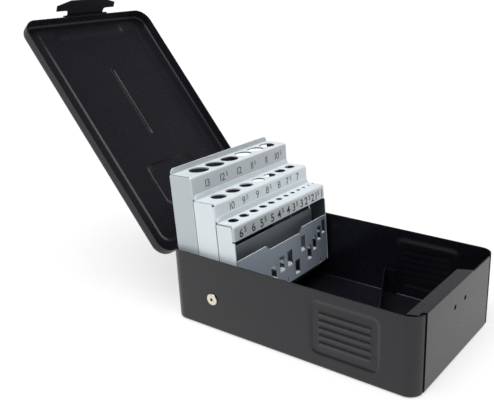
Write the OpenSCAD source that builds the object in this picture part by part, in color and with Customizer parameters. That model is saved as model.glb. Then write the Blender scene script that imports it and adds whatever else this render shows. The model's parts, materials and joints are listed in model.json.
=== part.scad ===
// Sheet-steel drill case: a folded box, a hinged lid with a finger latch,
// and a three-tier swinging rack for 25 drills from 1 to 13 mm.
// Origin: middle of the underside. +Z up, the latch side is -Y, the hinge side is +Y.

/* [Case] */
// Length of the case, front to back
case_l = 180; // [165:1:200]
// Width of the case
case_w = 108; // [106:0.5:126]
// Height of the side walls
case_h = 50; // [47:0.5:60]
// Thickness of the case and lid sheet
sheet = 0.8; // [0.6:0.1:1]
// Outer radius of the upright corners
corner_r = 9; // [7:0.5:12]
// Outer radius of the bend between floor and walls
floor_bend_r = 1.6; // [1.2:0.1:2.5]
// Clearance between pieces that turn past each other
clear = 0.3; // [0.2:0.05:0.5]

/* [Front panel] */
// Open seam between the front panel and each wrapped corner
seam_gap = 1.1; // [0.6:0.1:2]
// How far the wrapped corners reach in from the sides
seam_in = 8.5; // [7:0.5:12]
// How far the panel's inner lip reaches into the case
lip_reach = 10.4; // [6:0.2:12]
// How far the lip slopes down
lip_drop = 2.2; // [1:0.1:5]
// Length of the lip from its left end
lip_l = 66.7; // [50:0.1:90]
// Gap between the lip's left end and the side wall
lip_side = 4.7; // [4:0.1:8]
// How far the lip's left end stays behind the front face
lip_corner_in = 3.4; // [3:0.1:6]
// Diameter of the two front holes
front_hole_d = 3.2; // [2:0.1:4]
// Distance between the two front holes
front_hole_pitch = 14.4; // [10:0.2:30]
// Height of the two front holes
front_hole_z = 36.8; // [30:0.2:40]

/* [Grip fields] */
// Length of the pressed grip field on each side wall
grip_l = 44.6; // [30:0.2:50]
// Height of the grip field
grip_h = 33; // [26:0.5:34]
// Middle of the grip field behind the front face
grip_from_front = 46; // [40:0.5:60]
// Height of the grip field's middle
grip_z = 26; // [24:0.5:28]
// How far the grip field stands out
grip_out = 0.7; // [0.4:0.1:1]
// Corner radius of the grip field
grip_r = 4; // [2:0.5:6]
// Number of grip grooves
groove_n = 5; // [3:1:5]
// Pitch of the grooves
groove_pitch = 5; // [4:0.1:5.5]
// Length of a groove
groove_l = 35.6; // [20:0.2:38]
// Width of a groove
groove_w = 1.8; // [1.2:0.1:2.4]

/* [Tip stop] */
// Height of the slanted plate that holds the small drills back
stop_h = 18.4; // [10:0.2:20]
// Room between the plate's right end and the folded middle tier
stop_room = 2.6; // [2:0.1:6]
// How far the plate's left end lies ahead of its right end
stop_slant = 50.4; // [30:0.2:52]
// Length of the plate's welded end tabs
stop_tab_l = 10; // [6:0.5:14]

/* [Rack] */
// Room between each outer side of the case and the rack
rack_room = 4; // [3.5:0.1:5.5]
// Thickness of the rack sheet
rack_sheet = 0.8; // [0.6:0.1:1]
// Depth of the front tier
front_depth = 14.4; // [12:0.2:14.6]
// Depth of the middle tier
middle_depth = 17; // [15:0.2:17.4]
// Depth of the back tier
back_depth = 18.4; // [17:0.2:18.6]
// Front face of the rack ahead of the pivot
rack_front = 19.6; // [18:0.1:19.8]
// Top of the front tier above the pivot
front_top = 50.6; // [46:0.2:54]
// Top of the middle tier above the pivot
middle_top = 62.9; // [60:0.1:64]
// Top of the back tier above the pivot
back_top = 77.9; // [75:0.1:80]
// Height of the front tier's numbered band
front_band = 9.9; // [9:0.1:13]
// Height of the middle tier's numbered band
middle_band = 11.8; // [11:0.1:13]
// Height of the back tier's numbered band
back_band = 14.4; // [13.5:0.1:15]
// Height of the turned-up flange behind each tier
flange_h = 3.4; // [2.4:0.1:4]
// Outer radius of the rack's bends
rack_bend_r = 1.8; // [1.4:0.1:2.4]
// Underside of the rack floor below the pivot
rack_floor = 17; // [14:0.5:17]
// Height of the slope at the rack floor's back edge
back_clip = 5; // [4:0.5:8]
// Backward lean of the raised rack, in degrees
rack_lean = 2.6; // [0:0.1:3]
// Room between the turning rack and the back wall
back_room = 1.8; // [0.6:0.1:4]
// Room between the turning rack and the case floor
under_room = 0.4; // [0.3:0.1:2]

/* [Drill holes] */
// Clearance of a drill hole over its drill
hole_clear = 0.3; // [0.1:0.05:0.4]
// Step from one drill to the next
drill_step = 0.5; // [0.5:0.1:0.5]
// Largest drill of the front tier
front_drill = 6.5; // [6:0.1:6.6]
// Largest drill of the middle tier
middle_drill = 10; // [9.5:0.1:10.2]
// Largest drill of the back tier
back_drill = 13; // [12:0.1:13]
// Share of the front tier's metal between its drills that lies before the first
front_margin = 0.1236; // [0.08:0.0001:0.15]
// Share that lies after the last drill of the front tier
front_tail = 0.0364; // [0.036:0.0001:0.1]
// Share of the middle tier's metal before its first drill
middle_margin = 0.242; // [0.1:0.001:0.3]
// Share after the last drill of the middle tier
middle_tail = 0.1432; // [0.1:0.0001:0.3]
// Share of the back tier's metal before its first drill
back_margin = 0.3559; // [0.2:0.0001:0.37]
// Share after the last drill of the back tier
back_tail = 0.2288; // [0.15:0.0001:0.28]

/* [Rack stops] */
// Top of the front stop panel above the pivot
panel_top = 27.5; // [26:0.1:34]
// Bottom bend of the stop panel below the pivot
panel_bottom = 7; // [5:0.1:7]
// Width of the notch in the stop panel's top edge
notch_w = 40; // [20:0.5:60]
// Depth of that notch
notch_d = 3.5; // [2:0.1:4]
// Height of a stop window
window_h = 9.6; // [8:0.1:10]
// Depth of the tab bent in at a window's foot
tab_l = 9; // [8:0.1:9.4]
// Guide plate's front face behind the front tier's face
guide_in = 11.6; // [11:0.1:13]
// Top of the guide plate above the pivot
guide_top = 31.2; // [28:0.1:36]
// Gap at each end of the guide plate
guide_end_gap = 0.8; // [0.5:0.1:2]

/* [Pivot] */
// Diameter of the pivot rivets' shank
rivet_d = 5; // [4:0.1:6]
// Diameter of the rivets' rolled head
rivet_head_d = 8; // [7:0.1:10]
// Diameter of the bore in the hollow rivets
rivet_bore_d = 2.2; // [1.5:0.1:2.8]
// Thickness of the rolled heads
rivet_head_h = 1.1; // [0.8:0.1:1.4]
// Outer diameter of the spacer bushes
bush_d = 9; // [7.5:0.1:11]
// Radial clearance of the turning fits
run_clear = 0.05; // [0.02:0.01:0.1]

/* [Lid] */
// Room between the folded rack and the shut lid
lid_room = 1; // [0.6:0.1:4]
// How far the rim overlaps the case walls
lid_overlap = 4; // [2.5:0.1:4]
// Room behind the back wall for the hinge
hinge_room = 3.6; // [3.4:0.1:5]
// Least height of the lid's top above the case walls
lid_rise = 4; // [3.5:0.1:8]
// Outer radius of the edge between lid top and rim
lid_edge_r = 2.6; // [1.5:0.1:3]
// Height of the raised field in the lid top
field_rise = 0.8; // [0.5:0.1:1]
// Distance of the raised field from the lid's edges
field_in = 8; // [6:0.5:12]
// Angle of the open lid, in degrees
lid_open = 129.2; // [110:0.2:130]
// Length of the stiffening bead
bead_l = 60; // [30:1:70]
// Width of the stiffening bead
bead_w = 5; // [3:0.5:8]
// Middle of the bead ahead of the back face
bead_from_back = 111; // [100:1:120]
// Width of the pressed rectangle near the hinge
plaque_w = 43; // [20:1:60]
// Length of the pressed rectangle
plaque_l = 45; // [20:1:50]
// Middle of the rectangle ahead of the back face
plaque_from_back = 36.6; // [32:0.2:45]
// Corner radius of the rectangle
plaque_r = 5; // [2:0.5:8]
// Length of the set-back in the raised field behind the latch
setback_l = 58; // [30:1:70]
// Depth of that set-back
setback_d = 4.5; // [3:0.5:7]

/* [Hinge] */
// Diameter of the hinge pin
pin_d = 2; // [1.6:0.1:2.2]
// Outer diameter of the hinge knuckles
knuckle_d = 3.8; // [3.4:0.1:4]
// Length of the hinge
hinge_l = 60; // [40:1:70]
// Number of knuckles
knuckle_n = 5; // [3:2:7]
// Pin axis behind the back wall
axis_back = 3.8; // [3.6:0.1:4.2]
// Pin axis below the wall's top edge
axis_drop = 4.9; // [4.5:0.1:5.5]
// Height of the hinge leaf on the back wall
leaf_h = 12; // [8:0.5:20]

/* [Latch] */
// Diameter of the latch pin
latch_pin_d = 1.2; // [1:0.1:1.4]
// Outer diameter of the latch knuckle
latch_knuckle_d = 2.3; // [2.1:0.1:2.4]
// Latch axis below the wall's top edge when the lid is shut
latch_axis_drop = 2; // [1:0.1:2.5]
// Thickness of the latch sheet
latch_sheet = 0.7; // [0.5:0.1:0.9]
// Width of the latch at its neck
neck_w = 31.5; // [24:0.5:36]
// Width across the latch's finger ears
bar_w = 51; // [40:0.5:60]
// Height of the finger plate at its middle
bar_h = 7.6; // [6:0.1:8]
// Width of the finger plate's free edge
tongue_w = 28; // [20:0.5:34]
// How far the free edge slopes back towards the tips of the ears
ear_sweep = 3.6; // [0.5:0.1:4.5]
// Reach of the latch from its pin
latch_reach = 12.2; // [11:0.1:14]
// Radius of the hollows beside the neck
hollow_r = 2; // [1:0.1:2.2]
// Angle of the swung-out latch, in degrees
latch_open = 25; // [15:1:60]

/* [Hidden] */
$fn = 64;
eps = 0.01;
out = 1;
half_w = case_w / 2;
half_l = case_l / 2;
// Rack frame: v runs to the back and w up from the pivot.
rack_w = case_w - 2 * rack_room;
rack_half = rack_w / 2;
front_v = -rack_front;
middle_v = front_v + front_depth;
back_v = middle_v + middle_depth;
rack_back_v = back_v + back_depth;
front_swing = norm([rack_front, panel_bottom]);
back_swing = max(norm([rack_back_v, rack_floor - back_clip]), norm([rack_back_v - back_clip, rack_floor]));
pivot_z = sheet + front_swing + under_room;
pivot_y = half_l - sheet - back_swing - back_room;
front_hole_v = middle_v - 6.1;
middle_hole_v = back_v - 8.3;
back_hole_v = rack_back_v - 9.7;
end_gap = 0.5;
front_end_gap = 0.8;
drills_front = [for (i = [0 : 11]) front_drill - i * drill_step];
drills_middle = [for (i = [0 : 6]) middle_drill - i * drill_step];
drills_back = [for (i = [0 : 5]) back_drill - i * drill_step];
// Foot of the stop window for each drill of the front tier from the fourth on
window_foot = [1.9, 5.2, 6.3, -3.6, 11.4, 1.8, 6.6, 11.9, 15.2];
// Outer radius of the bend between panel and tab at each of those feet
window_bend = [2.2, 2.2, 2.2, 1, 2.2, 1, 1, 1, 1];
window_first = 3;
// Cuts that free an end plate from the foot of its band
front_relief = 1.1;
saw_cut = 0.15;
dart_x = [for (share = [-0.4, 0.005, 0.4]) share * rack_w];
// Hinge and lid, drawn shut
axis_y = half_l + axis_back;
axis_z = case_h - axis_drop;
rim_z = case_h - lid_overlap;
lid_top = max(pivot_z + rack_back_v + lid_room + sheet, case_h + lid_rise);
lid_corner_r = corner_r + clear + sheet;
lid_depth = lid_top - rim_z;
lid_half_w = half_w + clear + sheet;
lid_front = half_l + clear + sheet;
lid_back = half_l + hinge_room + sheet;
lid_l = lid_front + lid_back;
lid_mid_y = (lid_back - lid_front) / 2;
knuckle_l = hinge_l / knuckle_n;
knuckle_gap = 0.15;
latch_y = -lid_front - latch_knuckle_d / 2 - 0.1;
latch_z = case_h - latch_axis_drop;
lug_l = 3;
bush_l = half_w - sheet - rack_half - clear;
window_slope = 0.45;
window_base = 3.2;
window_grow = 0.6;
window_shift = 1.7;

// Sum of the first n drills of a row
function row_sum(drills, n) = n == 0 ? 0 : drills[n - 1] + row_sum(drills, n - 1);

// Middle of hole i in a row: the metal beside the drills is shared out, with equal lands between them
function hole_x(drills, margin, tail, i) =
    let (n = len(drills), metal = rack_w - row_sum(drills, n), land = metal * (1 - margin - tail) / (n - 1))
    -rack_half + metal * margin + row_sum(drills, i) + i * land + drills[i] / 2;

// Middle and width of the stop window for hole i of the front tier
function window_x(i) = hole_x(drills_front, front_margin, front_tail, i)
                       - window_shift - window_slope * (drills_front[i] - drills_front[11]);
function window_w(i) = window_base + window_grow * drills_front[i];

// Foot of that window, and the bend of its tab
function foot_w(i) = window_foot[i - window_first];
function foot_r(i) = window_bend[i - window_first];

// Rounded rectangle about the origin
module rounded(x, y, r) {
    square([x - 2 * r, y], center = true);
    square([x, y - 2 * r], center = true);
    for (i = [-1, 1], j = [-1, 1])
        translate([i * (x / 2 - r), j * (y / 2 - r)]) circle(r);
}

// Quarter ring about the origin, on the +x -y side
module quarter_bend(r, t) {
    intersection() {
        difference() {
            circle(r);
            circle(r - t);
        }
        translate([0, -r]) square(r);
    }
}

// Open pan of bent sheet: flat bottom at z = 0, walls up to h
module pan(x, y, h, corner, bend, t) {
    module wall_profile() {
        translate([corner - t, bend]) square([t, h - bend]);
        translate([corner - bend, bend]) quarter_bend(bend, t);
        translate([corner - bend - t, 0]) square([t, t]);
    }
    linear_extrude(t) rounded(x - 2 * bend, y - 2 * bend, corner - bend);
    for (turn = [0, 1, 2, 3]) {
        across = turn % 2 == 0 ? x : y;
        along = turn % 2 == 0 ? y : x;
        rotate(turn * 90) translate([across / 2 - corner, 0, 0]) {
            translate([0, along / 2 - corner, 0]) rotate_extrude(angle = 90) wall_profile();
            rotate([90, 0, 0]) linear_extrude(along - 2 * corner, center = true) wall_profile();
        }
    }
}

// Sheet bent along straight runs, drawn as its middle line
module bent_sheet(points, t) {
    for (i = [0 : len(points) - 2]) {
        d = points[i + 1] - points[i];
        translate(points[i]) rotate(atan2(d.y, d.x)) translate([0, -t / 2]) square([norm(d), t]);
    }
    for (p = points) translate(p) circle(t / 2);
}

// Places a piece that is drawn in the rack frame
module in_rack() {
    translate([0, pivot_y, pivot_z]) rotate([-rack_lean, 0, 0]) children();
}

// Extrudes a (v, w) profile across the rack
module across_rack(width) {
    rotate([90, 0, 90]) linear_extrude(width, center = true) children();
}

// Swings a piece that is drawn with the lid shut to the open lid
module in_lid() {
    translate([0, axis_y, axis_z]) rotate([-lid_open, 0, 0]) translate([0, -axis_y, -axis_z]) children();
}

// Swings the latch outwards about its pin
module in_latch() {
    in_lid() translate([0, latch_y, latch_z]) rotate([-latch_open, 0, 0]) children();
}

// Prism with a rounded outline that stands out from the right wall
module on_wall(from_x, depth) {
    translate([from_x, -half_l + grip_from_front, grip_z])
        rotate([90, 0, 90]) linear_extrude(depth) children();
}

// Outline of the grip grooves on the wall
module grooves(width) {
    for (i = [0 : groove_n - 1])
        translate([0, (i - (groove_n - 1) / 2) * groove_pitch])
            rounded(groove_l, width, width / 2 - eps);
}

// Folded box: floor, back wall and long walls that wrap round the front corners
module case_body() color([0.11, 0.11, 0.12]) {
    open_w = case_w - 2 * seam_in;
    difference() {
        union() {
            pan(case_w, case_l, case_h, corner_r, floor_bend_r, sheet);
            for (side = [0, 1]) mirror([side, 0, 0])
                on_wall(half_w - sheet / 2, sheet / 2 + grip_out) rounded(grip_l, grip_h, grip_r);
        }
        translate([-open_w / 2, -half_l - out, -out])
            cube([open_w, out + floor_bend_r, case_h + 2 * out]);
        for (side = [0, 1]) mirror([side, 0, 0]) {
            difference() {
                on_wall(half_w - sheet - out, out + grip_out)
                    rounded(grip_l - 2 * sheet, grip_h - 2 * sheet, grip_r - sheet);
                on_wall(half_w - sheet, grip_out + out) grooves(groove_w + sheet);
            }
            on_wall(half_w, grip_out + out) grooves(groove_w);
            translate([half_w - sheet - out, pivot_y, pivot_z])
                rotate([0, 90, 0]) cylinder(d = rivet_d, h = sheet + 2 * out);
        }
    }
}

// Front wall with two small holes and a lip folded inwards that reaches into the left corner
module front_panel() color([0.13, 0.13, 0.14]) {
    panel_w = case_w - 2 * seam_in - 2 * seam_gap;
    lip_x = -half_w + sheet + lip_side;
    face = -half_l;
    difference() {
        union() {
            rotate([90, 0, 90]) linear_extrude(panel_w, center = true) {
                translate([face, floor_bend_r]) square([sheet, case_h - floor_bend_r - sheet]);
                translate([face + floor_bend_r, floor_bend_r]) mirror([1, 0]) quarter_bend(floor_bend_r, sheet);
            }
            translate([lip_x, 0, 0]) rotate([90, 0, 90]) linear_extrude(lip_l)
                bent_sheet([[face + sheet / 2, case_h - 2 * sheet], [face + sheet / 2, case_h - sheet / 2],
                            [face + lip_reach, case_h - lip_drop]], sheet);
        }
        translate([-panel_w / 2 - case_w, face - out, -out])
            cube([case_w, out + lip_corner_in, case_h + 2 * out]);
        for (i = [-1, 1]) translate([i * front_hole_pitch / 2, face - out, front_hole_z])
            rotate([-90, 0, 0]) cylinder(d = front_hole_d, h = sheet + 2 * out);
    }
}

// Slanted plate across the floor that keeps the small drills in the shut case
module drill_tip_stop() color([0.1, 0.1, 0.11]) {
    inner = half_w - sheet;
    right = [inner, pivot_y - middle_top - stop_room];
    left = [-inner, right.y - stop_slant];
    slope = stop_slant / (right.x - left.x);
    translate([0, 0, floor_bend_r]) linear_extrude(stop_h - floor_bend_r)
        polygon([left, right, right - [0, stop_tab_l], right - [sheet, stop_tab_l],
                 right - [sheet, sheet * (1 + slope)], left + [sheet, sheet * (slope - 1)],
                 left + [sheet, -stop_tab_l], left - [0, stop_tab_l]]);
}

// Hollow rivet with a rolled head on both ends, drawn along +x from the wall's outer face
module pivot_rivet(side) color([0.9, 0.88, 0.8]) {
    shank = half_w - rack_half + rack_sheet + clear;
    roll = rivet_head_h / 2;
    translate([side * half_w, pivot_y, pivot_z]) rotate([0, -side * 90, 0]) rotate_extrude() {
        difference() {
            union() {
                translate([0, -rivet_head_h]) square([rivet_head_d / 2 - roll, rivet_head_h]);
                translate([rivet_head_d / 2 - roll, -roll]) circle(roll);
                square([rivet_d / 2, shank + rivet_head_h]);
                translate([0, shank]) square([rivet_head_d / 2 - roll, rivet_head_h]);
                translate([rivet_head_d / 2 - roll, shank + roll]) circle(roll);
            }
            translate([-rivet_head_d, -case_w]) square([rivet_head_d + rivet_bore_d / 2, 2 * case_w]);
        }
    }
}
module pivot_rivet_left() pivot_rivet(-1);
module pivot_rivet_right() pivot_rivet(1);

// Spacer bush on the rivet between the case wall and the rack
module pivot_bush(side) color([0.75, 0.76, 0.78])
    translate([side * (half_w - sheet), pivot_y, pivot_z]) rotate([0, -side * 90, 0])
        difference() {
            cylinder(d = bush_d, h = bush_l);
            translate([0, 0, -out]) cylinder(d = rivet_d, h = bush_l + 2 * out);
        }
module pivot_bush_left() pivot_bush(-1);
module pivot_bush_right() pivot_bush(1);

// Knuckles of one leaf: every second one, starting at first
module knuckles(first, bore) {
    for (i = [first : 2 : knuckle_n - 1])
        translate([-hinge_l / 2 + i * knuckle_l + knuckle_gap, axis_y, axis_z]) rotate([0, 90, 0])
            difference() {
                cylinder(d = knuckle_d, h = knuckle_l - 2 * knuckle_gap);
                translate([0, 0, -out]) cylinder(d = bore, h = knuckle_l + 2 * out);
            }
}

// Leaf welded to the back wall, with the outer knuckles
module body_hinge_leaf() color([0.12, 0.12, 0.13]) {
    web_z = axis_z - knuckle_d / 2;
    translate([-hinge_l / 2 + knuckle_gap, half_l, web_z - leaf_h + sheet])
        cube([hinge_l - 2 * knuckle_gap, sheet, leaf_h]);
    for (i = [0 : 2 : knuckle_n - 1])
        translate([-hinge_l / 2 + i * knuckle_l + knuckle_gap, half_l, web_z])
            cube([knuckle_l - 2 * knuckle_gap, axis_back, sheet]);
    knuckles(0, pin_d);
}

// Pin through all the knuckles
module hinge_pin() color([0.6, 0.6, 0.62])
    translate([-hinge_l / 2, axis_y, axis_z]) rotate([0, 90, 0]) cylinder(d = pin_d, h = hinge_l);

// Outline of a tier's end plate, with the corners cut where the rack swings
module end_plate(v0, depth, top, band, back_cut, front_cut, gap, relief) {
    v1 = v0 + depth - gap;
    difference() {
        union() {
            translate([v0 + rack_bend_r, -rack_floor])
                square([v1 - v0 - rack_bend_r, rack_floor + top - gap]);
            translate([v0, -rack_floor]) square([2 * rack_bend_r, rack_floor + top - band - relief]);
        }
        if (front_cut > 0) translate([v0, -rack_floor]) rotate(45) square(front_cut * sqrt(2), center = true);
        if (back_cut > 0) translate([v1, -rack_floor]) rotate(45) square(back_cut * sqrt(2), center = true);
    }
}

// Rounded corner that is drawn in the sheet where a band meets its plate and end plate
module drawn_corner(r, t) {
    rotate(-90) rotate_extrude(angle = 90) intersection() {
        difference() {
            circle(r);
            circle(r - t);
        }
        square(r);
    }
}

// Tier of folded sheet: flange, plate with holes, numbered band and two end plates
module tier(v0, depth, top, band, drills, margin, tail, hole_v, back_cut, front_cut, gap, relief, drawn) {
    r = rack_bend_r;
    t = rack_sheet;
    flat = rack_half - r;
    plate = rack_half - t - gap;
    flange_r = flange_h - t / 2;
    difference() {
        union() {
            across_rack(2 * plate)
                translate([v0 + r, top - t]) square([depth - r, t]);
            translate([0, v0 + depth, top]) rotate([90, 0, 0]) linear_extrude(t) intersection() {
                rounded(2 * plate, 2 * flange_h, flange_r);
                translate([-plate, -t]) square([2 * plate, flange_h + t]);
            }
            across_rack(2 * flat) {
                translate([v0 + r, top - r]) mirror([1, 0]) mirror([0, 1]) quarter_bend(r, t);
                translate([v0, top - band]) square([t, band - r]);
            }
            for (side = [0, 1]) mirror([side, 0, 0]) {
                translate([flat, v0 + r, top - band]) linear_extrude(band - r) quarter_bend(r, t);
                translate([rack_half - t, 0, 0]) rotate([90, 0, 90]) linear_extrude(t)
                    end_plate(v0, depth, top, band, back_cut, front_cut, gap, relief);
                if (drawn) translate([flat, v0 + r, top - r]) drawn_corner(r, t);
            }
        }
        for (i = [0 : len(drills) - 1])
            translate([hole_x(drills, margin, tail, i), hole_v, top - t - out])
                cylinder(d = drills[i] + hole_clear, h = t + 2 * out);
        rotate([0, 90, 0])
            cylinder(d = rivet_d + 2 * run_clear, h = 2 * rack_w, center = true);
    }
}
module rack_tier_front() color([0.82, 0.86, 0.89]) in_rack()
    tier(front_v, front_depth, front_top, front_band, drills_front, front_margin, front_tail,
         front_hole_v, 0, rack_floor - panel_bottom, front_end_gap, front_relief, true);
module rack_tier_middle() color([0.82, 0.86, 0.89]) in_rack()
    tier(middle_v, middle_depth, middle_top, middle_band, drills_middle, middle_margin, middle_tail,
         middle_hole_v, 0, 0, end_gap, saw_cut, false);
module rack_tier_back() color([0.82, 0.86, 0.89]) in_rack()
    tier(back_v, back_depth, back_top, back_band, drills_back, back_margin, back_tail,
         back_hole_v, back_clip, 0, end_gap, saw_cut, true);

// Front stop panel: windows with bent-in tabs set how deep each small drill sits
module stop_panel() color([0.55, 0.6, 0.64]) in_rack() {
    t = rack_sheet;
    width = rack_w - 2 * t - 2 * end_gap;
    round_r = 4;
    toe = rack_floor - panel_bottom - t;
    difference() {
        union() {
            translate([0, front_v + t, 0]) rotate([90, 0, 0]) linear_extrude(t)
                difference() {
                    translate([0, (panel_top - panel_bottom) / 2]) union() {
                        rounded(width, panel_top + panel_bottom, round_r);
                        translate([-width / 2, 0]) square([width, (panel_top + panel_bottom) / 2]);
                    }
                    translate([0, panel_top]) polygon([
                        [-notch_w / 2, eps], [notch_w / 2, eps],
                        [notch_w / 2 - notch_d, -notch_d], [-notch_w / 2 + notch_d, -notch_d]]);
                }
            across_rack(width - 2 * round_r)
                bent_sheet([[front_v + t / 2, -panel_bottom + t], [front_v + t / 2, -panel_bottom],
                            [front_v + t / 2 + toe, -panel_bottom - toe]], t);
        }
        for (i = [window_first : len(drills_front) - 1])
            translate([window_x(i) - window_w(i) / 2, front_v - out, foot_w(i) - foot_r(i)])
                cube([window_w(i), t + 2 * out, window_h + foot_r(i)]);
        for (x = dart_x) translate([x, front_v, -panel_bottom + 0.6]) rotate([90, 0, 0])
            linear_extrude(t, center = true) polygon([[-1.5, 0], [1.5, 0], [0, 4.2]]);
    }
    for (i = [window_first : len(drills_front) - 1])
        translate([window_x(i), 0, 0]) across_rack(window_w(i))
            translate([front_v + foot_r(i), foot_w(i) - foot_r(i)]) {
                mirror([1, 0]) mirror([0, 1]) quarter_bend(foot_r(i), t);
                translate([0, foot_r(i) - t]) square([tab_l + t - foot_r(i), t]);
            }
}

// Floor of the rack, sloped up at its back edge
module rack_floor_pan() color([0.75, 0.79, 0.82]) in_rack() {
    t = rack_sheet;
    base = -rack_floor + t / 2;
    across_rack(rack_w - 2 * t - 2 * end_gap)
        bent_sheet([[front_v + rack_floor - panel_bottom + t, base], [rack_back_v - back_clip - t, base],
                    [rack_back_v - t, base + back_clip]], t);
}

// Upright plate behind the small drills
module guide_plate() color([0.5, 0.54, 0.58]) in_rack() {
    width = rack_w - 2 * rack_sheet - 2 * guide_end_gap;
    translate([-width / 2, front_v + guide_in, -rack_floor + rack_sheet])
        cube([width, rack_sheet, guide_top + rack_floor - rack_sheet]);
}

// Outlines in the raised field that are pressed back level with the border
module pressed(grow) {
    translate([0, half_l - bead_from_back])
        rounded(bead_w + grow, bead_l + grow, (bead_w + grow) / 2 - eps);
    translate([0, half_l - plaque_from_back])
        rounded(plaque_w + grow, plaque_l + grow, plaque_r + grow / 2);
    translate([0, -lid_front + field_in])
        rounded(setback_l + grow, 2 * setback_d + grow, setback_d / 2 + grow / 2);
}

// Pressed lid: rim, rounded edge, raised field, beads and a plain pressed rectangle
module lid_shell() color([0.12, 0.12, 0.13]) in_lid() {
    field_w = 2 * lid_half_w - 2 * field_in;
    field_l = lid_l - 2 * field_in;
    field_r = lid_corner_r - lid_edge_r;
    rest_z = lid_top - sheet;
    difference() {
        union() {
            translate([0, lid_mid_y, lid_top]) mirror([0, 0, 1])
                pan(2 * lid_half_w, lid_l, lid_depth, lid_corner_r, lid_edge_r, sheet);
            translate([0, lid_mid_y, rest_z]) linear_extrude(sheet + field_rise) rounded(field_w, field_l, field_r);
        }
        difference() {
            translate([0, lid_mid_y, rest_z - out]) linear_extrude(field_rise + out)
                rounded(field_w - 2 * sheet, field_l - 2 * sheet, field_r - sheet);
            translate([0, 0, rest_z - out]) linear_extrude(2 * out + field_rise) pressed(0);
        }
        translate([0, 0, lid_top]) linear_extrude(field_rise + out) pressed(-2 * sheet);
        translate([-hinge_l / 2 - clear, lid_mid_y, rim_z - out])
            cube([hinge_l + 2 * clear, lid_l, out + axis_z + knuckle_d / 2 + clear - rim_z]);
    }
}

// Leaf welded to the lid's back rim, with the inner knuckles
module lid_hinge_leaf() color([0.12, 0.12, 0.13]) in_lid() {
    base_z = axis_z + knuckle_d / 2 + clear;
    difference() {
        union() {
            translate([-hinge_l / 2 + knuckle_gap, lid_back, base_z])
                cube([hinge_l - 2 * knuckle_gap, sheet, lid_top - lid_edge_r - base_z]);
            for (i = [1 : 2 : knuckle_n - 1])
                translate([-hinge_l / 2 + i * knuckle_l + knuckle_gap, lid_back, axis_z])
                    cube([knuckle_l - 2 * knuckle_gap, sheet, base_z - axis_z]);
            knuckles(1, pin_d);
        }
        translate([0, axis_y, axis_z]) rotate([0, 90, 0])
            cylinder(d = pin_d + 2 * run_clear, h = 2 * hinge_l, center = true);
    }
}

// Two lugs on the lid's front rim that carry the latch pin
module latch_lugs() color([0.12, 0.12, 0.13]) in_lid()
    for (side = [0, 1]) mirror([side, 0, 0])
        translate([neck_w / 2 + knuckle_gap, 0, 0]) difference() {
            union() {
                translate([0, latch_y, latch_z]) rotate([0, 90, 0]) cylinder(d = latch_knuckle_d, h = lug_l);
                translate([0, latch_y, latch_z]) cube([lug_l, -lid_front - latch_y, latch_knuckle_d / 2]);
            }
            translate([-out, latch_y, latch_z]) rotate([0, 90, 0]) cylinder(d = latch_pin_d, h = lug_l + 2 * out);
        }

// Pin of the latch
module latch_pin() color([0.6, 0.6, 0.62]) in_lid()
    translate([0, latch_y, latch_z]) rotate([0, 90, 0])
        cylinder(d = latch_pin_d, h = neck_w + 2 * knuckle_gap + 2 * lug_l, center = true);

// T-shaped finger latch, drawn hanging from its pin
module latch_flap() color([0.1, 0.1, 0.11]) in_latch() {
    neck_end = latch_reach - bar_h;
    difference() {
        union() {
            rotate([0, 90, 0]) cylinder(d = latch_knuckle_d, h = neck_w, center = true);
            translate([0, -latch_knuckle_d / 2 + latch_sheet, 0]) rotate([90, 0, 0]) linear_extrude(latch_sheet) {
                difference() {
                    translate([-neck_w / 2 - hollow_r, -neck_end - eps]) square([neck_w + 2 * hollow_r, neck_end]);
                    for (side = [-1, 1]) translate([side * (neck_w / 2 + hollow_r), -neck_end + hollow_r])
                        circle(hollow_r);
                    for (side = [-1, 1])
                        translate([side * (neck_w / 2 + hollow_r), hollow_r + eps])
                            square([2 * hollow_r, 2 * neck_end], center = true);
                }
                polygon([[-bar_w / 2, -neck_end], [bar_w / 2, -neck_end], [bar_w / 2, ear_sweep - latch_reach],
                         [tongue_w / 2, -latch_reach], [-tongue_w / 2, -latch_reach], [-bar_w / 2, ear_sweep - latch_reach]]);
            }
        }
        rotate([0, 90, 0]) cylinder(d = latch_pin_d + 2 * run_clear, h = bar_w, center = true);
    }
}

case_body();
front_panel();
drill_tip_stop();
pivot_rivet_left();
pivot_rivet_right();
pivot_bush_left();
pivot_bush_right();
body_hinge_leaf();
hinge_pin();
rack_tier_back();
rack_tier_middle();
rack_tier_front();
stop_panel();
rack_floor_pan();
guide_plate();
lid_shell();
lid_hinge_leaf();
latch_lugs();
latch_pin();
latch_flap();
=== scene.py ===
"""Looks of a sheet-steel drill case: pressed box, swinging three-tier rack, hinged lid and finger latch."""
import json
import bpy
import numpy as np
from mathutils import Matrix, Vector


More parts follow.
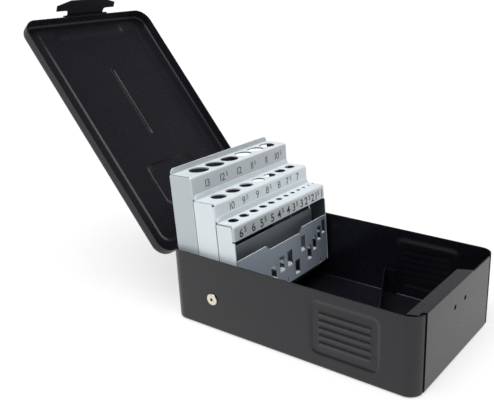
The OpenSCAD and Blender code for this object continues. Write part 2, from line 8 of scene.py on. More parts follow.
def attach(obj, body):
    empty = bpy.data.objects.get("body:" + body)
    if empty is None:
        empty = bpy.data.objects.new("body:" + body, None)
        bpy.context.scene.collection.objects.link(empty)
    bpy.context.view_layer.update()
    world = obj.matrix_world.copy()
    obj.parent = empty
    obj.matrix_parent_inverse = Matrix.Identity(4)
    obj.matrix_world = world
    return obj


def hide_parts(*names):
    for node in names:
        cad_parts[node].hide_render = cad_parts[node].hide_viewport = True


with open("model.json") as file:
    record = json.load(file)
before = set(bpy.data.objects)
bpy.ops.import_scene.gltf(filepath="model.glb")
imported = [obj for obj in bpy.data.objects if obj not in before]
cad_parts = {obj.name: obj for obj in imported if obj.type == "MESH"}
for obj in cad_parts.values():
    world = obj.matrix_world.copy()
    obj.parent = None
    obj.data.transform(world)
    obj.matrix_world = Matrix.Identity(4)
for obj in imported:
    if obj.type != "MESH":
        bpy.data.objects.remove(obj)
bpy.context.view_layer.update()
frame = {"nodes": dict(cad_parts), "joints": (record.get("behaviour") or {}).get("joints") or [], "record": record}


# Case body: one blank of 0.8 mm steel, pressed to a pan and powder coated satin black.
# The long walls wrap round the front corners, and each carries a grip field that is pressed in, with
# five sharp ribs that stand level with the wall. Sizes are in millimetres.
MM = 0.001
case_l, case_w, case_h, sheet = 180.0, 108.0, 50.0, 0.8
case_corner, case_bend, bend_rings, cut_edge, sharp_angle = 9.0, 1.6, 6, 0.15, 62
seam_x, seam_margin, straight_on = 46.7, 0.3, 0.999
grip_y, grip_z, grip_l, grip_h, grip_r, grip_in = -43.5, 26.0, 44.9, 33.5, 4.5, 0.95
grip_edge, grip_edge_skew, grip_edge_inside = 2.8, 0.8, 1.2
rib_l, rib_pitch, rib_out, rib_above, rib_below = 35.6, 4.8, 1.0, 2.2, 3.9
rib_end_out, rib_end_in, rib_share_inside = 0.6, 1.2, 0.35
rib_z = grip_z + rib_pitch * np.arange(-2, 3)


def rise(d, start, end):
    """Smooth step: 0 where d is at start, 1 where it is at end, and level at both."""
    t = np.clip((d - start) / (end - start), 0, 1)
    return t * t * (3 - 2 * t)


def rounded_distance(x, y, half_x, half_y, r):
    """Distance from a rounded rectangle's outline, negative inside: the corner arcs take over past the
    straight runs."""
    qx, qy = np.abs(x) - half_x + r, np.abs(y) - half_y + r
    return np.hypot(np.maximum(qx, 0), np.maximum(qy, 0)) + np.minimum(np.maximum(qx, qy), 0) - r


def lines(start, end, pitch, *dense, least_gap=0.04):
    """Grid lines from start to end at about the pitch, with extra ones given as (places, offsets) where a
    relief bends. A line that comes closer than the least gap to the one before it is left out."""
    base = np.linspace(start, end, int(np.ceil((end - start) / pitch)) + 1)
    every = np.concatenate([base] + [np.add.outer(places, offsets).ravel() for places, offsets in dense])
    every = np.unique(np.round(every[(every >= start) & (every <= end)], 2))
    return every[np.concatenate([[True], np.diff(every) > least_gap])]


def quads_of(rows, closed):
    """Quads between neighbouring rows of point numbers, joined round where the rows are closed."""
    after = np.roll(rows, -1, axis=1)
    quads = np.stack([rows[:-1], rows[1:], after[1:], after[:-1]], -1)
    return quads if closed else quads[:, :-1]


def pan(half_x, y0, y1, corner, bend, across, along, depths, turns, inside):
    """One face of an open pan pressed from flat sheet, measured in depth from its outer bottom.

    The bottom is a grid whose rows narrow to a rounded rectangle. Its columns lie at shares of the half
    width, across, and its rows at places along, with the turns of the corner arcs at both ends. Its edge is
    carried outwards along each edge point's own normal: round a quarter bend, and down a straight wall to
    the given depths. The inner face is the same grid with every radius and half width less by the sheet's
    thickness, inside."""
    half_x, corner, bend = half_x - inside, corner - inside, bend - inside
    low_y, high_y = y0 + inside + bend, y1 - inside - bend
    flat_x, r = half_x - bend, corner - bend
    arc = r * (1 - np.cos(turns))
    straight = along[(along > low_y + r) & (along < high_y - r)]
    y = np.concatenate([low_y + arc, straight, (high_y - arc)[::-1]])
    into = np.clip(np.minimum(y - low_y, high_y - y), 0, r)
    half = flat_x - r + np.sqrt(r * r - (r - into) ** 2)
    floor = np.stack(np.broadcast_arrays(across * half[:, None], y[:, None], inside), -1)
    number = np.arange(floor[..., 0].size).reshape(floor.shape[:2])
    bottom = quads_of(number[::-1], False).reshape(-1, 4)

    loop = np.concatenate([number[0, :-1], number[:-1, -1], number[-1, :0:-1], number[:0:-1, 0]])
    edge = floor.reshape(-1, 3)[loop]
    arc_x, arc_y = np.clip(edge[:, 0], r - flat_x, flat_x - r), np.clip(edge[:, 1], low_y + r, high_y - r)
    off = edge[:, :2] - np.stack([arc_x, arc_y], -1)
    normal = off / np.linalg.norm(off, axis=1, keepdims=True)
    turn = np.linspace(0, np.pi / 2, bend_rings + 1)[1:]
    reach = np.concatenate([bend * np.sin(turn), np.full(len(depths), bend)])
    depth = np.concatenate([inside + bend * (1 - np.cos(turn)), depths])
    out = edge[:, :2] + reach[:, None, None] * normal
    ring = np.concatenate([out, np.broadcast_to(depth[:, None, None], out.shape[:2] + (1,))], -1)
    ring_number = number.size + np.arange(ring[..., 0].size).reshape(ring.shape[:2])
    wall = quads_of(np.concatenate([loop[None], ring_number]), True)
    return floor, ring, np.broadcast_to(normal, out.shape), bottom, wall


def put(name, data):
    """A new object at the origin that shows a mesh, a letter, a lamp or a camera."""
    made = bpy.data.objects.new(name, data)
    bpy.context.scene.collection.objects.link(made)
    return made


def sheet_piece(name, outer, inner, quads):
    """Closed sheet between two faces of like grids: the outer face, the inner face turned round, and a strip
    along every edge that belongs to one quad only. Bevel breaks the cut edges."""
    used, quads = np.unique(quads, return_inverse=True)
    quads, n = quads.reshape(-1, 4), len(used)
    sides = np.stack([quads, np.roll(quads, -1, axis=1)], -1).reshape(-1, 2)
    _, first, times = np.unique(np.sort(sides, axis=1) @ [n, 1], return_index=True, return_counts=True)
    free = sides[first[times == 1]]
    faces = np.concatenate([quads, quads[:, ::-1] + n, np.concatenate([free[:, ::-1], free + n], 1)])
    mesh = bpy.data.meshes.new(name)
    mesh.from_pydata((np.concatenate([outer[used], inner[used]]) * MM).tolist(), [], faces.tolist())
    mesh.polygons.foreach_set("use_smooth", np.ones(len(mesh.polygons), bool))
    piece = put(name, mesh)
    broken = piece.modifiers.new("broken_edge", "BEVEL")
    broken.width, broken.segments, broken.harden_normals = cut_edge * MM, 2, True
    broken.limit_method, broken.angle_limit = "ANGLE", np.radians(sharp_angle)
    return piece


def grip_relief(y, z, soft, rib_share):
    """Stand-out of the grip: a field let in with a soft edge that is steeper at its foot, plus five ribs
    whose flanks fall off from the crest as a square, faster above it than below. Soft widens the field's
    edge."""
    wide = grip_edge + grip_edge_skew * np.clip(2 * (z - grip_z) / grip_h, -1, 1) + soft
    outline = rounded_distance(y - grip_y, z - grip_z, grip_l / 2, grip_h / 2, grip_r)
    over = z[..., None] - rib_z
    flank = np.where(over > 0, over / rib_above, -over / rib_below)
    rib = (np.clip(1 - flank, 0, 1) ** 2).max(-1)
    ends = rise(np.abs(y - grip_y), rib_l / 2 + rib_end_out, rib_l / 2 - rib_end_in)
    return rib_share * rib_out * rib * ends - grip_in * rise(outline, wide / 2, -wide / 2)


wall_foot, wall_pitch, length_pitch, floor_columns = 0.4, 2.6, 4.0, 23
both_sides, edge_steps = np.array([-0.5, 0.5]), np.linspace(-2.0, 2.0, 9)
rib_steps = [1.8, 1.4, 1.0, 0.7, 0.45, 0.25, 0.1, 0, -0.12, -0.3, -0.6, -1.0, -1.5, -2.1]
wall_lines = lines(case_bend + wall_foot, case_h, wall_pitch,
                   (grip_z + both_sides * grip_h, edge_steps), (rib_z, rib_steps))
length_lines = lines(-case_l / 2, case_l / 2, length_pitch,
                     (grip_y + both_sides * grip_l, edge_steps), (grip_y + both_sides * rib_l, edge_steps))
seam_turn = np.arcsin((seam_x - case_w / 2 + case_corner) / case_corner)
corner_degrees = np.arange(18, 91, 8)
turns = np.concatenate([[0, seam_turn], np.radians(corner_degrees)])
faces = []
for inside, soft, rib_share in ((0.0, 0.0, 1.0), (sheet, grip_edge_inside, rib_share_inside)):
    floor, ring, normal, bottom, wall = pan(
        case_w / 2, -case_l / 2, case_l / 2, case_corner, case_bend,
        np.linspace(-1, 1, floor_columns), length_lines, wall_lines, turns, inside)
    side = np.where(np.abs(normal[..., 0]) > straight_on, np.sign(normal[..., 0]), 0)
    ring[..., 0] += side * grip_relief(ring[..., 1], ring[..., 2], soft, rib_share)
    faces.append(np.concatenate([floor.reshape(-1, 3), ring.reshape(-1, 3)]))
front = (ring[-1, :, 1] < 0) & (np.abs(ring[-1, :, 0]) < seam_x - seam_margin)
wall = wall[:, ~(front | np.roll(front, -1))]
case_body = sheet_piece("pressed_case", *faces, np.concatenate([bottom, wall.reshape(-1, 4)])[:, ::-1])


def adder(tree):
    """Empties a node tree and gives a function that adds a node to it. An input is linked where it is given
    another node's output and set where it is given a constant, and keywords set the node's own choices."""
    tree.nodes.clear()

    def add(node_type, inputs=(), **choices):
        node = tree.nodes.new(node_type)
        for key, value in choices.items():
            setattr(node, key, value)
        for socket, source in dict(inputs).items():
            if isinstance(source, bpy.types.NodeSocket):
                tree.links.new(source, node.inputs[socket])
            else:
                node.inputs[socket].default_value = source
        return node
    return add


def new_material(name):
    """A new material with no nodes yet, and the function that adds them."""
    material = bpy.data.materials.new(name)
    material.use_nodes = True
    return material, adder(material.node_tree)


def effect(name, inputs, outputs):
    """New shader group of number inputs, given with their usual values, and number outputs: the group, the
    function that adds its nodes, and its inputs as seen from inside."""
    group = bpy.data.node_groups.new(name, "ShaderNodeTree")
    for socket, usual in inputs.items():
        made = group.interface.new_socket(socket, in_out="INPUT", socket_type="NodeSocketFloat")
        made.default_value = usual
    for socket in outputs:
        group.interface.new_socket(socket, in_out="OUTPUT", socket_type="NodeSocketFloat")
    add = adder(group)
    return group, add, add("NodeGroupInput").outputs


def calc(add, operation, *values, clamp=False):
    """One step of arithmetic on values over the surface."""
    return add("ShaderNodeMath", enumerate(values), operation=operation, use_clamp=clamp).outputs[0]


def remap(add, value, low, high, to_low=0.0, to_high=1.0):
    """A value carried from low..high to to_low..to_high in proportion, and held at the ends."""
    return add("ShaderNodeMapRange", {0: value, 1: low, 2: high, 3: to_low, 4: to_high}).outputs[0]


def tint(add, share, colour, over):
    """A colour that gives way to another by a share. Each is a node's output, or a constant red, green
    and blue."""
    under, upper = (c if isinstance(c, bpy.types.NodeSocket) else (*c, 1) for c in (colour, over))
    return add("ShaderNodeMix", {0: share, 6: under, 7: upper}, data_type="RGBA").outputs[2]


def clouds(add, scale, detail, rough=0.5):
    """Noise on the piece's own coordinates, with scale clouds to the metre."""
    place = add("ShaderNodeTexCoord").outputs["Object"]
    values = {"Vector": place, "Scale": scale, "Detail": detail, "Roughness": rough}
    return add("ShaderNodeTexNoise", values).outputs["Fac"]


# Shared effects of the coats: the orange peel and slow tone drift of sprayed coats, and the thinner,
# paler coat along edges.
cloud_span, coat_gloss, patch_span, patch_least = (0.3, 0.7), (-0.04, 0.05), (0.35, 0.7), 0.25
fleck_scale, patch_scale, edge_samples, flat_agree, edge_agree = 900.0, 160.0, 4, 0.995, 0.86
peel_group, add, given = effect("coat_peel", {"Size": 0.0007, "Drift Size": 0.03},
                                ("Height", "Drift", "Fleck"))
peel_scale, drift_scale = (calc(add, "DIVIDE", 1.0, given[size]) for size in ("Size", "Drift Size"))
add("NodeGroupOutput", {"Height": clouds(add, peel_scale, detail=2.0, rough=0.45),
                        "Drift": clouds(add, drift_scale, detail=3.0, rough=0.55),
                        "Fleck": clouds(add, fleck_scale, detail=1.0)})

wear_group, add, given = effect("edge_wear", {"Width": 0.0004, "Amount": 1.0}, ("Mask",))
round_edge = add("ShaderNodeBevel", {"Radius": given["Width"]}, samples=edge_samples).outputs["Normal"]
flat_face = add("ShaderNodeNewGeometry").outputs["Normal"]
agree = add("ShaderNodeVectorMath", {0: round_edge, 1: flat_face}, operation="DOT_PRODUCT").outputs["Value"]
patches = remap(add, clouds(add, patch_scale, detail=3.0), *patch_span, patch_least, 1.0)
mask = calc(add, "MULTIPLY", remap(add, agree, flat_agree, edge_agree), patches)
add("NodeGroupOutput", {"Mask": calc(add, "MULTIPLY", mask, given["Amount"], clamp=True)})


def sprayed_coat(name, tone, drift_tone, worn_tone, rough, peel_size, peel_deep, worn,
                 shine=0.5, inner_shade_tone=None, painted_light_tones=()):
    """Sprayed and baked coat: slow tone drift, peel in the bump and gloss, and paler along edges. The painted
    light tones come in along one axis of the place or normal and paint shade or highlight, and the inner shade
    tone paints shade on the inner faces."""
    material, add = new_material(name)
    peel = add("ShaderNodeGroup", {"Size": peel_size}, node_tree=peel_group).outputs
    wear = add("ShaderNodeGroup", {"Amount": worn}, node_tree=wear_group).outputs
    colour = tint(add, remap(add, peel["Drift"], *cloud_span), tone, drift_tone)
    colour = tint(add, wear["Mask"], colour, worn_tone)
    coord = add("ShaderNodeTexCoord").outputs
    # Painted shade and painted highlight laid along an axis of the place or the normal.
    for source, axis, start, end, painted_tone in painted_light_tones:
        along = add("ShaderNodeSeparateXYZ", {0: coord[source]}).outputs[axis]
        colour = tint(add, remap(add, along, start, end), colour, painted_tone)
    if inner_shade_tone:
        inner = add("ShaderNodeGroup", node_tree=inner_shade_group).outputs
        colour = tint(add, inner["Mask"], colour, inner_shade_tone)
    gloss = remap(add, peel["Fleck"], *cloud_span, rough + coat_gloss[0], rough + coat_gloss[1])
    bump = add("ShaderNodeBump", {"Height": peel["Height"], "Strength": 1.0, "Distance": peel_deep})
    coat = add("ShaderNodeBsdfPrincipled", {"Base Color": colour, "Roughness": gloss,
                                            "Normal": bump.outputs[0], "Specular IOR Level": shine})
    add("ShaderNodeOutputMaterial", {"Surface": coat.outputs[0]})
    return material


black_coat = sprayed_coat("satin_black_coat", tone=(0.004, 0.0038, 0.0068),
                          drift_tone=(0.0052, 0.005, 0.0086), worn_tone=(0.02, 0.02, 0.025), rough=0.3,
                          peel_size=0.0008, peel_deep=0.000003, worn=0.7)
case_body.data.materials.append(black_coat)
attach(case_body, "case")
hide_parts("case_body")


# Front panel, tip stop and hinge leaf of the case: folded from the same sheet, spot welded in
# and coated with the box.
def dress(material, *names):
    """Puts a material on CAD nodes whose solid shape is right as it is."""
    for name in names:
        node = frame["nodes"][name]
        node.data.materials.clear()
        node.data.materials.append(material)


dress(black_coat, "front_panel", "drill_tip_stop", "body_hinge_leaf")


# Pivot rivets, bushes and pins: hollow nickel-plated rivets rolled over at both ends, turned steel
# bushes on them, and zinc-plated pins. A fine grain and a slight tarnish dull the plating.
grain_size, grain_deep, stain_size = 0.00025, 0.000008, 0.003
stain_span, plate_gloss = (0.4, 0.75), (-0.05, 0.07)


def plated_metal(name, tone, tarnish_tone, rough):
    """Plated metal: tarnish in slow patches, and a fine grain in the gloss and bump."""
    material, add = new_material(name)
    sizes = {"Size": grain_size, "Drift Size": stain_size}
    peel = add("ShaderNodeGroup", sizes, node_tree=peel_group).outputs
    colour = tint(add, remap(add, peel["Drift"], *stain_span), tone, tarnish_tone)
    gloss = remap(add, peel["Fleck"], *cloud_span, rough + plate_gloss[0], rough + plate_gloss[1])
    bump = add("ShaderNodeBump", {"Height": peel["Height"], "Strength": 1.0, "Distance": grain_deep})
    metal = add("ShaderNodeBsdfPrincipled", {"Base Color": colour, "Roughness": gloss,
                                             "Normal": bump.outputs[0], "Metallic": 1.0})
    add("ShaderNodeOutputMaterial", {"Surface": metal.outputs[0]})
    return material


nickel = plated_metal("nickel_plate", tone=(0.78, 0.74, 0.62), tarnish_tone=(0.6, 0.54, 0.42), rough=0.3)
dress(nickel, "pivot_rivet_left", "pivot_rivet_right")
zinc = plated_metal("zinc_plate", tone=(0.56, 0.57, 0.6), tarnish_tone=(0.42, 0.43, 0.45), rough=0.36)
dress(zinc, "pivot_bush_left", "pivot_bush_right", "hinge_pin", "latch_pin")


# Rack tiers and floor: three channels folded from 0.8 mm sheet with graded holes, spot welded
# together and sprayed pale blue-grey. Painted shade: the inner faces, the back tier's sides and band, the left
# of the front band and the walls of the small holes are painted darker for the shade that falls there.
turned_in = (-0.3, -0.75)
# Painted shade: faces that look back, down or inward get a dark tone in place of the shade inside the tiers.
inner_shade_group, add, _ = effect("inner_shade_mask", {}, ("Mask",))
coord = add("ShaderNodeTexCoord").outputs
facing = add("ShaderNodeSeparateXYZ", {0: coord["Normal"]}).outputs
side_place = add("ShaderNodeSeparateXYZ", {0: coord["Object"]}).outputs["X"]
outward = calc(add, "MULTIPLY", calc(add, "SIGN", side_place), facing["X"])
least = calc(add, "MINIMUM", calc(add, "MULTIPLY", facing["Y"], -1.0), facing["Z"])
add("NodeGroupOutput", {"Mask": remap(add, calc(add, "MINIMUM", least, outward), *turned_in)})

# Dark tone of the painted shade on the inner faces and in the small holes.
painted_inner_shade = (0.055, 0.06, 0.068)
# Painted shade tones for the back tier and for the left of the front band.
full_coat, painted_side_shade, painted_band_shade = (0.73, 0.79, 0.825), (0.5, 0.55, 0.575), (0.54, 0.585, 0.61)
faces_plus, faces_minus = (0.6, 0.9), (-0.6, -0.9)
square_plus, square_minus = (0.985, 0.995), (-0.985, -0.995)
to_left_x, behind_band_y, behind_holes_y = (0.02, -0.04), (0.0385, 0.0395), (0.0495, 0.0505)
flange_z = (0.0732, 0.0742)
# Painted shade: the back tier's end plates and band are darker, as the light falls less on them.
back_tier_shade = [("Normal", "X", *faces_minus, painted_side_shade), ("Normal", "X", *faces_plus, painted_side_shade),
             ("Normal", "Y", *faces_minus, painted_band_shade)]
# Painted shade: the left of the front band is darker and the walls of the small holes are dark; end plates, top
# plates and the flange keep the full coat.
front_tier_shade = [("Object", "X", *to_left_x, painted_band_shade), ("Object", "Y", *behind_band_y, painted_inner_shade),
              ("Object", "Y", *behind_holes_y, full_coat), ("Normal", "X", *square_minus, full_coat),
              ("Normal", "X", *square_plus, full_coat), ("Normal", "Z", *faces_plus, full_coat),
              ("Object", "Z", *flange_z, full_coat)]
for name, painted_light_tones, pieces in (("pale_enamel", (), ("rack_tier_middle", "rack_floor_pan")),
                           ("pale_enamel_back", back_tier_shade, ("rack_tier_back",)),
                           ("pale_enamel_front", front_tier_shade, ("rack_tier_front",))):
    enamel = sprayed_coat(name, tone=full_coat, drift_tone=(0.76, 0.82, 0.85), worn_tone=(0.82, 0.87, 0.9),
                          rough=0.33, peel_size=0.0011, peel_deep=0.000006, worn=0.6,
                          inner_shade_tone=painted_inner_shade, painted_light_tones=painted_light_tones)
    dress(enamel, *pieces)


# Stop panel: blue-grey sheet with punched windows, whose tabs are bent in as stops for the small drills.
# Its right part is painted darker as painted shade, and its upward faces, the tabs' tops among them, are painted
# brighter as a painted highlight of the light from above.
# The guide plate behind the drills has a grey coat, painted darker towards its foot as painted shade.
# Painted shade towards the right and a painted highlight on the faces that look up.
to_right_x, faces_up, to_foot_z = (0.0, 0.045), (0.2, 0.6), (0.051, 0.036)
painted_shade_right, painted_top_light, painted_foot_shade = (0.25, 0.295, 0.36), (0.82, 0.87, 0.92), (0.3, 0.34, 0.38)
stop_enamel = sprayed_coat("blue_grey_enamel", tone=(0.49, 0.57, 0.67), drift_tone=(0.52, 0.6, 0.7),
                           worn_tone=(0.74, 0.8, 0.85), rough=0.32, peel_size=0.0011, peel_deep=0.000004,
                           worn=0.9, inner_shade_tone=painted_inner_shade,
                           painted_light_tones=[("Object", "X", *to_right_x, painted_shade_right), ("Normal", "Z", *faces_up, painted_top_light)])
dress(stop_enamel, "stop_panel")
# Painted shade: the guide plate darkens towards its foot, where shade falls between the plates.
guide_coat = sprayed_coat("grey_coat_foot_shade", tone=(0.36, 0.41, 0.45), drift_tone=(0.39, 0.44, 0.48),
                          worn_tone=(0.5, 0.55, 0.6), rough=0.4, peel_size=0.0011, peel_deep=0.000004,
                          worn=0.8, inner_shade_tone=painted_inner_shade, painted_light_tones=[("Object", "Z", *to_foot_z, painted_foot_shade)])
dress(guide_coat, "guide_plate")


# Numbers: drill sizes in millimetres, printed dark grey on each tier's band under its holes. The half
# sizes have a small raised 5 after the digit.
half_share, half_top, digit_gap, half_gap, ink_thick = 0.64, 1.06, 0.7, 1.3, 0.03
joint_place = {j["name"]: np.array(j["pos_m"]) / MM for j in frame["joints"]}
pivot, lean = joint_place["rack_pivot"], np.radians(2.6)


def digit_shapes(weight):
    """Each digit as a closed flat mesh of height and thickness 1 that starts at x = 0: its points, faces and
    width."""
    shapes = {}
    for digit in "0123456789":
        curve = bpy.data.curves.new("digit", "FONT")
        curve.body, curve.extrude, curve.resolution_u, curve.offset = digit, 0.5, 6, weight
        maker = put("digit", curve)
        mesh = bpy.data.meshes.new_from_object(maker.evaluated_get(bpy.context.evaluated_depsgraph_get()))
        points = np.zeros(len(mesh.vertices) * 3)
        mesh.vertices.foreach_get("co", points)
        points = points.reshape(-1, 3)
        low, high = points.min(0), points.max(0)
        points = (points - [low[0], low[1], 0]) / [high[1] - low[1], high[1] - low[1], 1]
        shapes[digit] = (points, [list(p.vertices) for p in mesh.polygons], points[:, 0].max())
        bpy.data.objects.remove(maker)
        bpy.data.meshes.remove(mesh)
        bpy.data.curves.remove(curve)
    return shapes


def band_numbers(name, row, v, w, digit_h, digits):
    """One band's numbers: digits set side by side about their place in the row, at v behind and w above the
    pivot, then turned with the band's lean."""
    half_h = digit_h * half_share
    points, faces, count = [], [], 0
    for size, middle in row:
        marks = [(c, digit_h, 0.0, digit_gap) for c in str(int(size))]
        if size % 1:
            marks[-1] = marks[-1][:3] + (half_gap,)
            marks.append(("5", half_h, half_top * digit_h - half_h, 0.0))
        widths = [digits[c][2] * h for c, h, _, _ in marks]
        x = middle - (sum(widths) + sum(m[3] for m in marks[:-1])) / 2
        for (c, h, up, gap), width in zip(marks, widths):
            flat, shape_faces, _ = digits[c]
            points.append(np.stack([x + flat[:, 0] * h, v + (flat[:, 2] - 0.5) * ink_thick,
                                    w - digit_h / 2 + up + flat[:, 1] * h], -1))
            faces += [[i + count for i in f] for f in shape_faces]
            count += len(flat)
            x += width + gap
    x, v, w = np.concatenate(points).T
    y = pivot[1] + v * np.cos(lean) + w * np.sin(lean)
    z = pivot[2] - v * np.sin(lean) + w * np.cos(lean)
    mesh = bpy.data.meshes.new(name)
    mesh.from_pydata((np.stack([x, y, z], -1) * MM).tolist(), [], faces)
    return put(name, mesh)


ink_finish = dict(worn_tone=(0.1, 0.1, 0.1), rough=0.5, peel_size=0.0006, peel_deep=0.000004, worn=0.0)
dark_ink = sprayed_coat("dark_ink", (0.018, 0.019, 0.022), (0.03, 0.032, 0.036), **ink_finish)
grey_ink = sprayed_coat("thin_grey_ink", (0.05, 0.053, 0.06), (0.085, 0.09, 0.1), **ink_finish)
hole_mark = "drill_hole_"
holes = [(float(m["name"].removeprefix(hole_mark).removesuffix("mm").replace("_", ".")), m["pos_m"][0] / MM)
         for m in frame["record"]["mounts"] if m["name"].startswith(hole_mark)]
for band, least_size, most_size, v, w, digit_h, spread, shift, ink, weight in (
        ("front", 0, 6.6, -19.6, 44.6, 5.5, 1.0, -1.3, dark_ink, 0.014),
        ("middle", 6.6, 10.1, -5.2, 57.5, 4.9, 0.934, 0.0, grey_ink, 0.004),
        ("back", 10.1, 14, 11.8, 71.0, 4.9, 1.05, -0.6, grey_ink, 0.004)):
    row = [(size, x * spread + shift) for size, x in holes if least_size < size < most_size]
    piece = band_numbers("numbers_" + band, row, v, w, digit_h, digit_shapes(weight))
    piece.data.materials.append(ink)
    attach(piece, "rack")


# Lid: a shallow pan drawn from one sheet, with a rolled edge, a raised field, a stiffening bead, a plain
# pressed rectangle near the hinge and a set-back behind the latch. Its black coat is duller than the case's.
lid_half, lid_front, lid_back, lid_top, rim_z = 55.1, -91.1, 94.4, 54.0125, 46.0
lid_corner, lid_edge, lid_open = 10.1, 2.6, np.radians(129.2)
field_in, field_side, field_rise, field_flank, field_fade = 8.0, 12.0, 0.8, (1.0, -2.0), 4.0
bead_y, bead_l, bead_w, bead_flank, press_out = -21.0, 60.0, 5.0, 2.3, 0.85
plaque_y, plaque_w, plaque_l, plaque_r, plaque_flank = 46.4, 43.0, 32.8, 5.0, (0.5, -1.2)
setback_l, setback_d, setback_flank = 58.0, 4.5, (2.0, -3.0)
hinge_cut, hinge_cut_z = 30.3, 47.3


def lid_relief(x, y, soft):
    """How far the lid's top stands out: a plateau that fades in slowly from the front and is let back in
    along the set-back, with the bead and the rectangle pressed out further. Soft moves the flanks' starts on
    the inner face."""
    mid, half = (lid_front + lid_back) / 2, (lid_back - lid_front) / 2 - field_in
    outline = rounded_distance(x, y - mid + field_in / 2, lid_half - field_side, half + field_in / 2,
                               lid_corner - lid_edge)
    field = rise(outline, field_flank[0] + soft / 2, field_flank[1])
    field = field * rise(y - lid_front, field_in - field_fade, field_in + field_fade)
    bead = rise(rounded_distance(x, y - bead_y, bead_w / 2, bead_l / 2, bead_w / 2), -soft, -bead_flank)
    plaque = rise(rounded_distance(x, y - plaque_y, plaque_w / 2, plaque_l / 2, plaque_r), *plaque_flank)
    setback = rise(rounded_distance(x, y - lid_front - field_in, setback_l / 2, setback_d, setback_d / 2),
                   *setback_flank)
    return field_rise * field * (1 - setback) + press_out * (bead + plaque)


across_pitch, along_pitch, slow_in = 3.4, 4.0, 8
step, slow = np.array([-2.0, -1.6, -1.2, -0.8, -0.4, 0, 0.4, 0.8, 1.2]), np.arange(0, 7, 0.8)
bead_steps, cut_steps = [0.4, 0.8, 1.2, 1.6, 2.0, 2.4], [-0.06, 0.06]
field_x, field_front, field_back = lid_half - field_side, lid_front + field_in, lid_back - field_in
flat_x = lid_half - lid_edge
half_lines = lines(0, flat_x, across_pitch, (field_x, step), (field_x - slow_in, slow),
                   (plaque_w / 2, step[2:]), (setback_l / 2, step[2:]), (0, bead_steps),
                   (hinge_cut * flat_x / (lid_half - lid_corner), cut_steps))
across = np.concatenate([-half_lines[:0:-1], half_lines]) / flat_x
along = lines(lid_front, lid_back, along_pitch, (field_front, -step), (field_back, step),
              (field_front + slow_in, -slow), (field_back - slow_in, slow),
              (field_front + setback_d, 2 * step),
              (plaque_y + plaque_l / 2, step), (plaque_y - plaque_l / 2, -step),
              (bead_y + bead_l / 2, step), (bead_y - bead_l / 2, -step))
depths, corner_degrees = np.linspace(lid_edge, lid_top - rim_z, 8)[1:], np.arange(0, 91, 7.5)
axis = joint_place["lid_hinge"]
faces = []
for inside in (0.0, sheet):
    floor, ring, normal, bottom, wall = pan(
        lid_half, lid_front, lid_back, lid_corner, lid_edge,
        across, along, depths, np.radians(corner_degrees), inside)
    floor[..., 2] -= lid_relief(floor[..., 0], floor[..., 1], inside)
    below = ring[..., 2] - lid_edge
    cut = (normal[..., 1] > straight_on) & (np.abs(ring[..., 0]) < hinge_cut) & (below > 0)
    cut_depth = lid_edge + below * (lid_top - hinge_cut_z - lid_edge) / (lid_top - rim_z - lid_edge)
    ring[..., 2] = np.where(cut, cut_depth, ring[..., 2])
    x, y, z = np.concatenate([floor.reshape(-1, 3), ring.reshape(-1, 3)]).T - [[0], [axis[1]], [axis[2]]]
    z = lid_top - 2 * axis[2] - z
    faces.append(np.stack([x, axis[1] + y * np.cos(lid_open) + z * np.sin(lid_open),
                           axis[2] - y * np.sin(lid_open) + z * np.cos(lid_open)], -1))
lid = sheet_piece("pressed_lid", *faces, np.concatenate([bottom, wall.reshape(-1, 4)]))
lid_coat = sprayed_coat("dull_black_coat", tone=(0.0085, 0.0081, 0.0125), drift_tone=(0.0105, 0.01, 0.015),
                        worn_tone=(0.024, 0.024, 0.03), rough=0.28, peel_size=0.0008, peel_deep=0.000003,
                        worn=0.7, shine=0.32)
lid.data.materials.append(lid_coat)
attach(lid, "lid")
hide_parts("lid_shell")


# Hinge leaf of the lid, latch lugs and finger latch: folded strips. The latch swings on a thin pin between
# the lugs on the lid's front rim, and is of blackened spring steel that hardly shines.
dress(black_coat, "lid_hinge_leaf")
blackened = sprayed_coat("blackened_spring_steel", tone=(0.006, 0.006, 0.009),
                         drift_tone=(0.008, 0.008, 0.011), worn_tone=(0.02, 0.02, 0.024), rough=0.5,
                         peel_size=0.0005, peel_deep=0.000005, worn=0.6, shine=0.16)
dress(blackened, "latch_lugs", "latch_flap")


# Studio: a white floor that keeps the object's shadow, a backdrop that is white at the horizon and dim
# overhead, a soft lamp above and to the left, a weak one from the right, and the photograph's camera.
floor_size, floor_drop, paper_tone, seen_tone, seen_glow = 40, 0.0003, 0.82, 0.4, 0.6
bpy.ops.mesh.primitive_plane_add(size=floor_size, location=(0, 0, -floor_drop))
ground = bpy.context.object
ground.name = "studio_floor"
white_paper, add = new_material("white_paper")
ray = add("ShaderNodeLightPath").outputs
seen = calc(add, "MAXIMUM", ray["Is Camera Ray"], ray["Is Glossy Ray"])
seen = calc(add, "MAXIMUM", seen, ray["Is Transmission Ray"])
paper = add("ShaderNodeBsdfDiffuse", {"Color": (paper_tone, paper_tone, paper_tone, 1)}).outputs[0]
shade = add("ShaderNodeBsdfDiffuse", {"Color": (seen_tone, seen_tone, seen_tone, 1)}).outputs[0]
glow = add("ShaderNodeEmission", {"Color": (1, 1, 1, 1), "Strength": seen_glow}).outputs[0]
white = add("ShaderNodeAddShader", {0: shade, 1: glow}).outputs[0]
mix = add("ShaderNodeMixShader", {0: seen, 1: paper, 2: white}).outputs[0]
add("ShaderNodeOutputMaterial", {"Surface": mix})
ground.data.materials.append(white_paper)

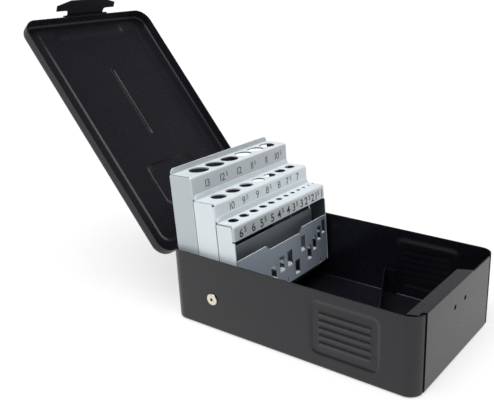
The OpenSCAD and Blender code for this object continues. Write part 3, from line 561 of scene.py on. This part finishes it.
backdrop_levels = ((0.03, 1.0), (0.15, 0.36), (0.5, 0.34), (0.65, 0.26), (0.76, 0.12), (0.86, 0.06))
world = bpy.data.worlds.new("studio")
world.use_nodes = True
bpy.context.scene.world = world
add = adder(world.node_tree)
upward = add("ShaderNodeSeparateXYZ", {0: add("ShaderNodeTexCoord").outputs["Generated"]}).outputs["Z"]
fall = add("ShaderNodeValToRGB", {0: upward})
stops = fall.color_ramp.elements
while len(stops) < len(backdrop_levels):
    stops.new(0.5)
for stop, (height, level) in zip(stops, backdrop_levels):
    stop.position, stop.color = height, (level, level, level, 1)
backdrop = add("ShaderNodeBackground", {"Color": fall.outputs["Color"]})
add("ShaderNodeOutputWorld", {"Surface": backdrop.outputs[0]})

for name, towards, spread, strength in (("top_light", (-0.33, -0.04, 0.94), 56, 2.9),
                                        ("side_light", (0.93, -0.05, 0.36), 24, 0.25)):
    lamp = bpy.data.lights.new(name, "SUN")
    lamp.angle, lamp.energy = np.radians(spread), strength
    put(name, lamp).rotation_euler = Vector(towards).to_track_quat("Z", "Y").to_euler()

photo_w, photo_h, focal_px, axis_px, axis_py = 494, 400, 702.02, 318.09, 209.29
camera_at, sensor = np.array([-347.13, -227.13, 229.80]), 36.0
az, el, roll = np.radians([-55.752, 20.222, -0.825])
back_dir = np.array([np.sin(az) * np.cos(el), -np.cos(az) * np.cos(el), np.sin(el)])
right = np.cross(-back_dir, [0, 0, 1])
right /= np.linalg.norm(right)
up = np.cross(right, -back_dir)
rolled_right, rolled_up = np.cos(roll) * right + np.sin(roll) * up, -np.sin(roll) * right + np.cos(roll) * up
lens = bpy.data.cameras.new("camera")
lens.sensor_fit, lens.sensor_width, lens.lens = "HORIZONTAL", sensor, focal_px * sensor / photo_w
lens.shift_x, lens.shift_y = -(axis_px - photo_w / 2) / photo_w, (axis_py - photo_h / 2) / photo_w
lens.clip_start, lens.clip_end = 0.01, 100
camera = put("camera", lens)
camera_matrix = np.eye(4)
camera_matrix[:3, :3] = np.stack([rolled_right, rolled_up, back_dir], -1)
camera_matrix[:3, 3] = camera_at * MM
camera.matrix_world = Matrix(camera_matrix.tolist())
bpy.context.scene.camera = camera
bpy.context.scene.view_settings.view_transform = "Standard"
